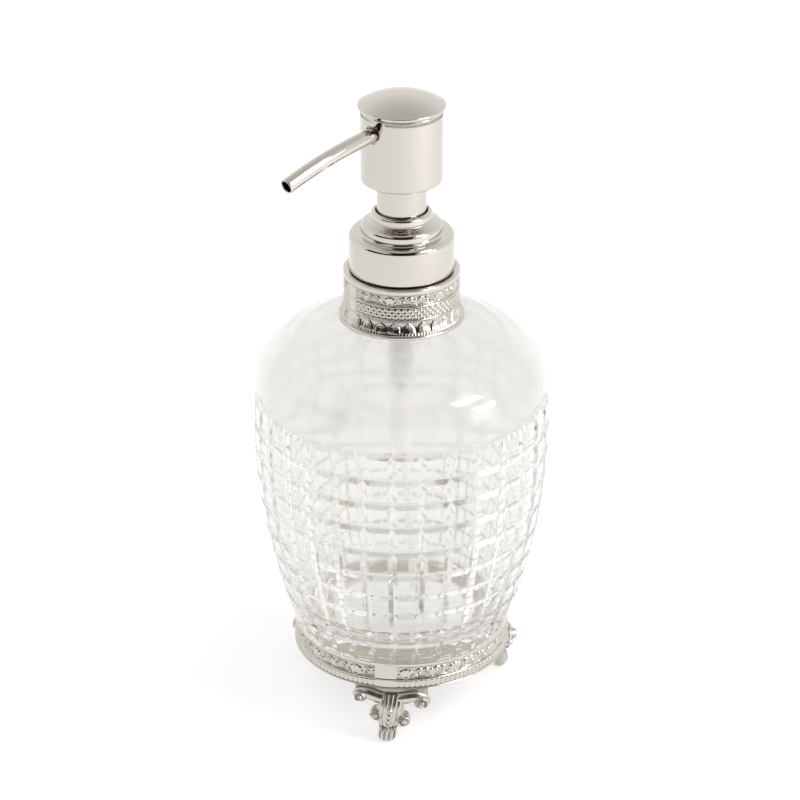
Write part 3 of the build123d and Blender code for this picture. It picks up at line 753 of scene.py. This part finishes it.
def foot_leg(lean):
    """The leg: stacked ovals whose centre, width and depth follow smooth curves in height. Flutes ripple the
    front down to lobed toes, a bead chain runs down its middle, and it leans sideways about its top."""
    stations = smooth_curve([
        (0.0, 33.9, 1.3, 0.9), (0.6, 34.1, 2.2, 1.6), (2.0, 34.4, 2.8, 2.1), (4.4, 34.4, 2.8, 2.0),
        (6.4, 34.5, 3.1, 1.9), (8.6, 34.7, 4.1, 2.1), (11.0, 35.0, 4.4, 2.3), (13.2, 35.0, 4.1, 2.3),
        (15.2, 34.6, 4.1, 2.0), (17.4, 34.2, 4.8, 1.3)], 100)
    z, distance, width, depth = [stations[:, i, None] for i in range(4)]
    psi = np.linspace(0, 2 * math.pi, 112, endpoint=False)[None, :]
    front = np.clip(np.sin(psi), 0, 1) ** 0.5
    way = np.sign(np.cos(psi)) * np.abs(np.cos(psi)) ** 0.85
    across = width * way
    toe = soft_step(5.6 - z, 1.6)
    flutes = (np.abs(np.cos(way * math.pi * 3.0)) ** 0.7 - 0.45) * 0.5 * (1 - toe)
    lobes = (np.abs(np.cos(way * math.pi * 2.0)) ** 0.6 - 0.6) * 1.1 * toe
    drop = front * (flutes + lobes) * soft_step(z - 0.2, 0.9)
    chain = np.sqrt(np.clip(1 - (across / 0.8) ** 2, 0, 1)) * np.abs(np.cos(z * math.pi / 2.1)) ** 0.6
    chain = chain * soft_step(z - 5.6, 0.8) * soft_step(13.5 - z, 0.8) * front
    neck = -0.55 * np.exp(-(((z - 5.7) / 0.45) ** 2)) * front
    out = distance + depth * np.sin(psi) + drop + 0.75 * chain + neck
    tip = (13.5 - z) * lean
    points = np.stack(np.broadcast_arrays(out, across - tip, z + 0 * psi), -1)
    return points, 0.62 + 0.6 * drop + 0.4 * chain + 1.0 * neck


def foot_scroll(distance, along, height, radius, hand, thickness):
    """A volute: a round boss facing outwards whose dome carries a raised spiral. Rows are circles about its
    centre, from the rim behind to the middle in front."""
    rho = np.concatenate([[1.0, 1.0], np.linspace(1.0, 0.0, 24)])[:, None]
    psi = np.linspace(0, 2 * math.pi, 56, endpoint=False)[None, :]
    du, dv = rho * np.cos(psi), rho * np.sin(psi)
    ridge = spiral_ridge(du, dv, 0.88, 1.6, 0.17, hand)
    rows = np.arange(len(rho))[:, None]
    dome = thickness * (0.35 + 0.5 * np.sqrt(np.clip(1 - rho**2, 0, 1)) + 0.4 * ridge * (rows > 2))
    out = distance + np.where(rows == 0, -thickness * 0.6, np.where(rows == 1, 0.0, dome))
    points = np.stack(np.broadcast_arrays(out, along + radius * du, height + radius * dv), -1)
    return points, 0.42 + 0.55 * ridge + 0 * rho


def foot_arm(side, drop):
    """A wing's arm: from the leg's top it sweeps out along the ring, just under its edge, and ends in a
    drooping curl; a tapering oval with a grooved face."""
    path = smooth_curve([(34.4, side * 1.6, 15.4), (34.7, side * 4.4, 16.0),
                         (34.9, side * 7.2, 16.9 - 0.4 * drop), (34.9, side * 9.2, 16.8 - 0.7 * drop),
                         (34.7, side * 10.4, 16.0 - drop), (34.6, side * 9.8, 14.9 - drop)], 56)
    t = np.linspace(0, 1, len(path))
    ends = np.sqrt(np.clip(1 - np.abs(2 * t - 1) ** 14, 0, 1))
    direction = np.gradient(path, axis=0)
    direction /= np.linalg.norm(direction, axis=1)[:, None]
    outwards = np.tile([1.0, 0.0, 0.0], (len(path), 1))
    upwards = np.cross(direction, outwards) * side
    return tube(path, outwards, upwards, (1.7 - 0.3 * t) * ends, (2.0 - 0.2 * t) * ends, 28, 5, 0.08)


def closed_rows(points):
    """Faces of stacked closed rows, with both ends drawn to their middles."""
    first, last = points[0].mean(0), points[-1].mean(0)
    count = points.shape[1]
    capped = np.concatenate([np.tile(first, (1, count, 1)), points, np.tile(last, (1, count, 1))])
    return capped, grid_faces(len(capped), count, wrap_columns=True)


class DISPENSER_OT_feet(bpy.types.Operator):
    """Build the three cast scroll feet"""

    bl_idname = "dispenser.feet"
    bl_label = "Feet"

    def execute(self, context):
        for name, azimuth in FOOT_AZIMUTHS.items():
            self.build(name, azimuth)
        return {"FINISHED"}

    def build(self, name, azimuth):
        shells, values = [], []

        def add(points, faces, value):
            wrapped = bent_to_ring(np.asarray(points).reshape(-1, 3), azimuth)
            shells.append((wrapped, faces))
            values.append(np.broadcast_to(np.asarray(value, float).ravel(), (len(wrapped),))
                          if np.size(value) == 1 else np.asarray(value, float).ravel())

        leg, leg_value = foot_leg(0.105)
        capped, faces = closed_rows(leg)
        add(capped, faces[:, ::-1], np.pad(leg_value, ((1, 1), (0, 0)), constant_values=0.6))
        for side, height, radius in ((-1, 9.9, 2.3), (1, 8.3, 2.4)):
            points, value = foot_scroll(34.6, side * 3.9 - 0.35, height, radius, side, 2.3)
            add(points, grid_faces(*points.shape[:2], wrap_columns=True), value)
        for side, drop in ((-1, 0.0), (1, 1.3)):
            arm, arm_faces = foot_arm(side, drop)
            add(arm, arm_faces[:, ::-1] if side > 0 else arm_faces, 0.7)
            points, value = foot_scroll(34.8, side * 9.4, 16.0 - drop, 2.1 + 0.3 * (side > 0), -side, 2.3)
            add(points, grid_faces(*points.shape[:2], wrap_columns=True), value)
        # Back plate filling the hollow behind the arms, under the ring. Its low relief value of 0.5 tints it
        # darker with the tarnish colour: painted shade for the deep hollow.
        back_along = np.linspace(-11.5, 11.5, 24)[None, :]
        band = np.array([(32.0, 18.88), (32.0, 16.2), (34.5, 16.2), (34.5, 18.88), (32.0, 18.88)])
        back = np.stack(np.broadcast_arrays(band[:, 0, None], back_along, band[:, 1, None]), -1)
        add(back, grid_faces(len(band), 24)[:, ::-1], 0.5)
        for end in (0, -1):
            cap = back[:4, end]
            add(cap, [[0, 1, 2, 3] if end else [3, 2, 1, 0]], 0.5)
        make_piece("scroll_" + name, shells, [cast()], "bottle", [name],
                   sharp=50.0, relief=np.concatenate(values))


# ======== Pump ====================================================================================
class DISPENSER_OT_closure(bpy.types.Operator):
    """Build the spun closure shell with its three rounded steps"""

    bl_idname = "dispenser.closure"
    bl_label = "Closure"

    def execute(self, context):
        low, high, radius = CLOSURE_LOW[2], CLOSURE_HIGH[2], CLOSURE_HIGH[0]
        profile = rounded([
            (8.0, high - 1.0), (7.95, high - 0.1, 0.3), (8.4, high, 0.3), (9.25, high - 0.5, 1.3),
            (9.35, high - 2.2, 0.6), (9.2, high - 2.75, 0.25), (10.4, high - 3.4, 0.4),
            (12.35, high - 4.2, 1.6), (12.4, high - 6.6, 0.3), (12.7, high - 7.15, 0.3),
            (radius, high - 7.2, 2.9), (radius, low + 0.25, 0.25), (radius - 0.25, low, 0.15),
            (radius - 0.7, low, 0.1), (radius - 0.7, low + 9.0, 2.0), (12.0, high - 8.0),
            (11.6, high - 4.9), (8.6, high - 4.2), (8.5, high - 1.2), (8.0, high - 1.0)], 9)
        make_piece("spun_closure", [turned(profile, 160)], [silver()], "closure",
                   ["closure_shell"], sharp=60.0)
        return {"FINISHED"}


def shell_wall_with_hole(radius, low, high, hole_z, hole_radius, depth):
    """A cylinder wall with a round hole. The wall is a grid of equal squares with a square window left out;
    rings of points blend the window's square edge into the hole's circle, and one more goes inwards."""
    columns, span = HEAD_COLUMNS, HOLE_WINDOW
    step = 2 * math.pi * radius / columns
    start = math.radians(SPOUT_AZIMUTH) - span / 2 * step / radius
    heights = hole_z + step * np.arange(-span / 2, span / 2 + 1)
    rows = np.concatenate([[high], heights[::-1], np.linspace(heights[0], low, 12)[1:]])
    angle = start + np.arange(columns) * step / radius
    wall = around(radius, angle[None, :], rows[:, None])
    faces = grid_faces(len(rows), columns, wrap_columns=True)
    row, column = faces[:, 0] // columns, faces[:, 0] % columns
    keep = ~((row >= 1) & (row < 1 + span) & (column < span))
    ramp = np.arange(span) * step - span / 2 * step
    half = span / 2 * step
    edge = np.concatenate([
        np.stack([ramp, np.full(span, -half)], -1), np.stack([np.full(span, half), ramp], -1),
        np.stack([-ramp, np.full(span, half)], -1), np.stack([np.full(span, -half), -ramp], -1)])
    direction = edge / np.linalg.norm(edge, axis=1)[:, None]
    blend = np.linspace(0, 1, 8)[:, None, None] ** 1.3
    flat = hole_radius * direction * (1 - blend) + edge * blend
    rim = around(radius, math.radians(SPOUT_AZIMUTH) + flat[..., 0] / radius, hole_z + flat[..., 1])
    lip_scale = np.array([1.0, 0.985])[:, None]
    lip_flat = hole_radius * direction[None] * lip_scale[..., None]
    lip = around(np.array([radius - depth, radius - 0.12])[:, None],
                 math.radians(SPOUT_AZIMUTH) + lip_flat[..., 0] / radius, hole_z + lip_flat[..., 1])
    patch = np.concatenate([lip, rim])
    patch_faces = grid_faces(len(patch), len(edge), wrap_columns=True)
    return (wall, faces[keep]), (patch, patch_faces)


class DISPENSER_OT_head(bpy.types.Operator):
    """Build the pump head: its drawn shell with the spout's hole, and the domed cap"""

    bl_idname = "dispenser.head"
    bl_label = "Pump head"

    def execute(self, context):
        radius, low, high = SHELL_HIGH[0], SHELL_LOW[2], SHELL_HIGH[2]
        wall_top = high - 1.9
        wall, patch = shell_wall_with_hole(radius, low + 1.4, wall_top, SPOUT_Z - 0.1, SPOUT_HOLE_RADIUS, 0.8)
        bottom = rounded([(radius, low + 1.4), (radius, low, 1.39), (7.7, low), (7.7, low + 0.8),
                          (radius - 0.8, low + 0.8, 0.6), (radius - 0.8, wall_top),
                          (radius - 1.7, high), (radius - 1.3, high), (radius, high - 0.2, 1.25),
                          (radius, wall_top)], 10)
        start = math.radians(SPOUT_AZIMUTH) - HOLE_WINDOW * math.pi / HEAD_COLUMNS
        make_piece("drawn_head_shell", [wall, patch, turned(bottom, HEAD_COLUMNS, start)], [silver()], "head",
                   ["head_shell"], sharp=45.0)
        edge, rim_z, apex = CAP_HIGH[0], CAP_LOW[2], CAP_HIGH[2]
        reach = edge - 0.35
        sag = apex - rim_z - 1.1
        ball = (reach**2 + sag**2) / (2 * sag)
        sweep = np.linspace(0, math.asin(reach / ball), 40)
        dome = np.stack([ball * np.sin(sweep), apex - ball + ball * np.cos(sweep)], -1)
        rim = rounded([dome[-1], (edge + 0.05, rim_z + 0.95, 0.35), (edge, rim_z, 0.35),
                       (11.4, rim_z), (11.4, rim_z + 0.9), (0, rim_z + 3.0)], 8)
        make_piece("domed_head_cap", [turned(np.concatenate([dome, rim[1:]]), 160)], [silver()], "head",
                   ["head_cap"], sharp=50.0)
        sleeve_low, sleeve_high = SLEEVE_LOW[2], SLEEVE_HIGH[2]
        sleeve = rounded([(7.05, sleeve_low), (7.35, sleeve_low, 0.1),
                          (STEM_SLEEVE_RADIUS, sleeve_low + 0.3, 0.2),
                          (STEM_SLEEVE_RADIUS, sleeve_high - 0.6),
                          (9.0, sleeve_high - 0.6), (9.0, sleeve_high),
                          (7.03, sleeve_high), (7.05, sleeve_low)], 6)
        make_piece("stem_sleeve_tube", [turned(sleeve[::-1], 128)], [silver()], "head",
                   ["stem_sleeve"], sharp=45.0)
        return {"FINISHED"}


def spout_path(count):
    """The spout's centre line: level, then two arcs that bend it down, the second long and gentle. Each arc
    is its start plus its radius times the change in sine and cosine of the slope."""
    level = np.stack([np.linspace(SPOUT_START, SPOUT_STRAIGHT_END, 8), np.full(8, SPOUT_Z)], -1)
    line = level
    slope = 0.0
    arcs = ((SPOUT_ROOT_RADIUS, SPOUT_ROOT_ANGLE, 6), (SPOUT_BEND_RADIUS, SPOUT_BEND_ANGLE, count))
    for radius, turn, steps in arcs:
        angles = slope + math.radians(turn) * np.linspace(0, 1, steps)
        arc = line[-1] + radius * np.stack([np.sin(angles) - math.sin(slope),
                                            np.cos(angles) - math.cos(slope)], -1)
        line = np.concatenate([line, arc[1:]])
        slope = angles[-1]
    return line


class DISPENSER_OT_spout(bpy.types.Operator):
    """Build the bent spout tube with its rolled mouth"""

    bl_idname = "dispenser.spout"
    bl_label = "Spout"

    def execute(self, context):
        line = spout_path(60)
        azimuth = math.radians(SPOUT_AZIMUTH)
        outwards = np.array([math.cos(azimuth), math.sin(azimuth), 0.0])
        centre = line[:, :1] * outwards + line[:, 1:] * np.array([0.0, 0.0, 1.0])
        direction = np.gradient(centre, axis=0)
        direction /= np.linalg.norm(direction, axis=1)[:, None]
        side = np.tile(np.cross([0.0, 0.0, 1.0], outwards), (len(centre), 1))
        up = np.cross(direction, side)
        tip = centre[-1]
        lip_turn = np.linspace(0, math.pi, 9)[1:-1]
        wall = (SPOUT_RADIUS - SPOUT_BORE) / 2
        lip_radius = (SPOUT_RADIUS + SPOUT_BORE) / 2 + wall * np.cos(lip_turn)
        lip_centre = tip + np.outer(wall * (np.sin(lip_turn) - 1), direction[-1])
        path = np.concatenate([centre[:-1], lip_centre, centre[:-1][::-1]])
        sizes = np.concatenate([np.full(len(centre) - 1, SPOUT_RADIUS), lip_radius,
                                np.full(len(centre) - 1, SPOUT_BORE)])
        sides = np.concatenate([side[:-1], side[:7], side[:-1]])
        ups = np.concatenate([up[:-1], np.tile(up[-1], (7, 1)), up[:-1][::-1]])
        points, faces = tube(path, sides, ups, sizes, sizes, 48)
        ring = np.arange(48)
        last = (len(path) - 1) * 48
        close = np.stack([last + ring, (ring + 1) % 48 + last, (ring + 1) % 48, ring], -1)
        faces = np.concatenate([faces, close[:, [0, 3, 2, 1]]])
        make_piece("bent_spout", [(points, faces)], [silver()], "head", ["spout_tube"],
                   sharp=50.0)
        return {"FINISHED"}


class DISPENSER_OT_spring(bpy.types.Operator):
    """Build the coiled return spring and hang it on the pump body"""

    bl_idname = "dispenser.spring"
    bl_label = "Return spring"

    def execute(self, context):
        low, high = SPRING_LOW[2], SPRING_HIGH[2]
        turn = np.linspace(0, SPRING_TURNS * 2 * math.pi, SPRING_TURNS * 48)
        radius = SPRING_HIGH[0] - SPRING_WIRE
        centre = around(radius, turn, np.linspace(low + SPRING_WIRE, high - SPRING_WIRE, len(turn)))
        direction = np.gradient(centre, axis=0)
        direction /= np.linalg.norm(direction, axis=1)[:, None]
        outwards = around(1.0, turn, 0.0)
        size = np.full(len(turn), SPRING_WIRE)
        size[[0, -1]] = 0.0
        coil = tube(centre, outwards, np.cross(direction, outwards), size, size, 12)
        steel = material_named("drawn_steel", drawn_steel)
        piece = make_piece("coiled_return_spring", [coil], [steel], "pump_body",
                           ["return_spring"])
        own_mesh(piece)
        return {"FINISHED"}


class DISPENSER_OT_inner_parts(bpy.types.Operator):
    """Give the pump's plastic, steel and foam CAD parts their finishes"""

    bl_idname = "dispenser.inner_parts"
    bl_label = "Inner parts"

    def execute(self, context):
        white = material_named("white_plastic", moulded_plastic, "white_plastic", (0.86, 0.85, 0.82), 0.35)
        milky = material_named("milky_plastic", moulded_plastic, "milky_plastic", (1.0, 0.99, 0.97), 0.35,
                               0.62)
        dark = material_named("dark_plastic", moulded_plastic, "dark_plastic", (0.03, 0.03, 0.032), 0.4)
        steel = material_named("drawn_steel", drawn_steel)
        finishes = {
            "closure_liner": white, "stem_guide": white, "piston_rod": white, "pump_housing": milky,
            "dip_tube": milky, "piston_seal": milky, "actuator_core": dark, "inlet_ball": steel,
            "outlet_ball": steel, "thread_insert": silver(),
            "neck_gasket": material_named("gasket_foam", foam, (0.8, 0.8, 0.77)),
        }
        for node, material in finishes.items():
            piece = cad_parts[node]
            piece.data.materials.clear()
            piece.data.materials.append(material)
        return {"FINISHED"}


# ======== Stage ===================================================================================
def add_softbox(name, place, target, size, power, colour=(1, 1, 1)):
    """A rectangular lamp at a place, turned towards a target."""
    lamp = bpy.data.lights.new(name, "AREA")
    lamp.shape = "RECTANGLE"
    lamp.size, lamp.size_y = size
    lamp.energy = power
    lamp.color = colour
    box = bpy.data.objects.new(name, lamp)
    towards = np.array(target, float) - np.array(place, float)
    away = -towards / np.linalg.norm(towards)
    right = np.cross([0.0, 0.0, 1.0], away)
    right /= np.linalg.norm(right)
    up = np.cross(away, right)
    turn = Matrix([[right[i], up[i], away[i], place[i]] for i in range(3)] + [[0, 0, 0, 1]])
    box.matrix_world = turn
    bpy.context.scene.collection.objects.link(box)


def multiply(tree, *sources):
    """The product of several numbers."""
    product = sources[0]
    for source in sources[1:]:
        node = add_node(tree, "ShaderNodeMath", operation="MULTIPLY")
        tree.links.new(product, node.inputs[0])
        tree.links.new(source, node.inputs[1])
        product = node.outputs[0]
    return product


def studio_world():
    """A pale studio seen in reflections: bright warm walls and a greyer ceiling. In front, on the camera's
    side, a dark room shows as a low band along the horizon and a taller gap beside the camera. Each is a
    product of smooth ranges of the direction's three parts. Other rays see only the bright walls."""
    world = bpy.data.worlds.new("studio")
    world.use_nodes = True
    tree = world.node_tree
    background = tree.nodes["Background"]
    place = add_node(tree, "ShaderNodeTexCoord")
    split = add_node(tree, "ShaderNodeSeparateXYZ")
    tree.links.new(place.outputs["Generated"], split.inputs[0])
    x, y, z = split.outputs["X"], split.outputs["Y"], split.outputs["Z"]
    ramp = add_node(tree, "ShaderNodeValToRGB")
    ramp.color_ramp.elements[0].position = 0.0
    ramp.color_ramp.elements[0].color = (1.0, 0.995, 0.985, 1)
    ramp.color_ramp.elements[1].position = 1.0
    ramp.color_ramp.elements[1].color = (0.64, 0.63, 0.61, 1)
    middle = ramp.color_ramp.elements.new(0.5)
    middle.color = (1.0, 0.995, 0.985, 1)
    tree.links.new(z, ramp.inputs["Fac"])
    band = multiply(tree, add_range(tree, y, 1.0, 0.0, -0.25, -0.05),
                    add_range(tree, x, 1.0, 0.0, 0.45, 0.65),
                    add_range(tree, z, 0.0, 1.0, 0.0, 0.03), add_range(tree, z, 1.0, 0.0, 0.44, 0.54))
    gap = multiply(tree, add_range(tree, y, 1.0, 0.0, -0.30, -0.15),
                   add_range(tree, x, 0.0, 1.0, -0.45, -0.30),
                   add_range(tree, x, 1.0, 0.0, 0.42, 0.54), add_range(tree, z, 0.0, 1.0, 0.0, 0.03),
                   add_range(tree, z, 1.0, 0.0, 0.80, 0.93))
    dark = add_node(tree, "ShaderNodeMath", operation="MAXIMUM")
    tree.links.new(band, dark.inputs[0])
    tree.links.new(gap, dark.inputs[1])
    mix = add_node(tree, "ShaderNodeMix", data_type="RGBA")
    mix.inputs[7].default_value = (0.02, 0.017, 0.013, 1)
    tree.links.new(dark.outputs[0], mix.inputs["Factor"])
    tree.links.new(ramp.outputs["Color"], mix.inputs[6])
    rays = add_node(tree, "ShaderNodeLightPath")
    seen = add_node(tree, "ShaderNodeMix", data_type="RGBA")
    seen.inputs[6].default_value = (0.95, 0.945, 0.935, 1)
    tree.links.new(rays.outputs["Is Glossy Ray"], seen.inputs["Factor"])
    tree.links.new(mix.outputs[2], seen.inputs[7])
    tree.links.new(seen.outputs[2], background.inputs["Color"])
    background.inputs["Strength"].default_value = STUDIO_STRENGTH
    bpy.context.scene.world = world


class DISPENSER_OT_stage(bpy.types.Operator):
    """Set the camera, the floor and the soft studio light"""

    bl_idname = "dispenser.stage"
    bl_label = "Stage"

    def execute(self, context):
        settings = context.scene.dispenser_stage
        half = 6.0
        mesh = bpy.data.meshes.new("studio_floor")
        mesh.from_pydata([(-half, -half, 0), (half, -half, 0), (half, half, 0), (-half, half, 0)], [],
                         [(0, 1, 2, 3)])
        mesh.materials.append(floor_material(settings))
        floor = bpy.data.objects.new("studio_floor", mesh)
        context.scene.collection.objects.link(floor)
        studio_world()
        add_softbox("softbox_right", (0.75, -0.35, 0.95), (0, 0, 0.1), (0.42, 0.26), 3.0)
        add_softbox("softbox_low", (0.85, -0.35, 0.40), (0.6, -0.25, 0.0), (0.3, 0.3), 2.4)
        light_paths = context.scene.cycles
        light_paths.max_bounces = light_paths.transmission_bounces = 40
        light_paths.glossy_bounces = 16
        camera_data = bpy.data.cameras.new("camera")
        camera_data.lens = settings.lens
        camera_data.clip_start, camera_data.clip_end = 0.05, 50.0
        camera = bpy.data.objects.new("camera", camera_data)
        e = settings.elevation
        camera.location = (-0.0005, -settings.distance * math.cos(e),
                           settings.aim_height + settings.distance * math.sin(e))
        camera.rotation_euler = (math.pi / 2 - e, 0.0, 0.0)
        context.scene.collection.objects.link(camera)
        context.scene.camera = camera
        context.scene.view_settings.view_transform = "Standard"
        return {"FINISHED"}


# ======== Panel and registration ==================================================================
class DISPENSER_PT_panel(bpy.types.Panel):
    bl_idname = "DISPENSER_PT_panel"
    bl_label = "Soap dispenser"
    bl_space_type = "VIEW_3D"
    bl_region_type = "UI"
    bl_category = "Dispenser"

    def draw(self, context):
        layout = self.layout
        for group in ("dispenser_glass", "dispenser_metal", "dispenser_stage"):
            settings = getattr(context.scene, group)
            for name in settings.bl_rna.properties.keys():
                if name not in ("rna_type", "name"):
                    layout.prop(settings, name)
        for operator in OPERATORS:
            layout.operator(operator.bl_idname)


OPERATORS = (DISPENSER_OT_glass, DISPENSER_OT_collar, DISPENSER_OT_ring, DISPENSER_OT_feet,
             DISPENSER_OT_closure, DISPENSER_OT_head, DISPENSER_OT_spout, DISPENSER_OT_spring,
             DISPENSER_OT_inner_parts, DISPENSER_OT_stage)
CLASSES = (GlassSettings, MetalSettings, StageSettings, *OPERATORS, DISPENSER_PT_panel)


def register():
    for cls in CLASSES:
        bpy.utils.register_class(cls)
    bpy.types.Scene.dispenser_glass = PointerProperty(type=GlassSettings)
    bpy.types.Scene.dispenser_metal = PointerProperty(type=MetalSettings)
    bpy.types.Scene.dispenser_stage = PointerProperty(type=StageSettings)


def unregister():
    for cls in reversed(CLASSES):
        bpy.utils.unregister_class(cls)
    del bpy.types.Scene.dispenser_glass
    del bpy.types.Scene.dispenser_metal
    del bpy.types.Scene.dispenser_stage


def main():
    register()
    bpy.ops.dispenser.glass()
    bpy.ops.dispenser.collar()
    bpy.ops.dispenser.ring()
    bpy.ops.dispenser.feet()
    bpy.ops.dispenser.closure()
    bpy.ops.dispenser.head()
    bpy.ops.dispenser.spout()
    bpy.ops.dispenser.spring()
    bpy.ops.dispenser.inner_parts()
    bpy.ops.dispenser.stage()


if __name__ == "__main__":
    main()
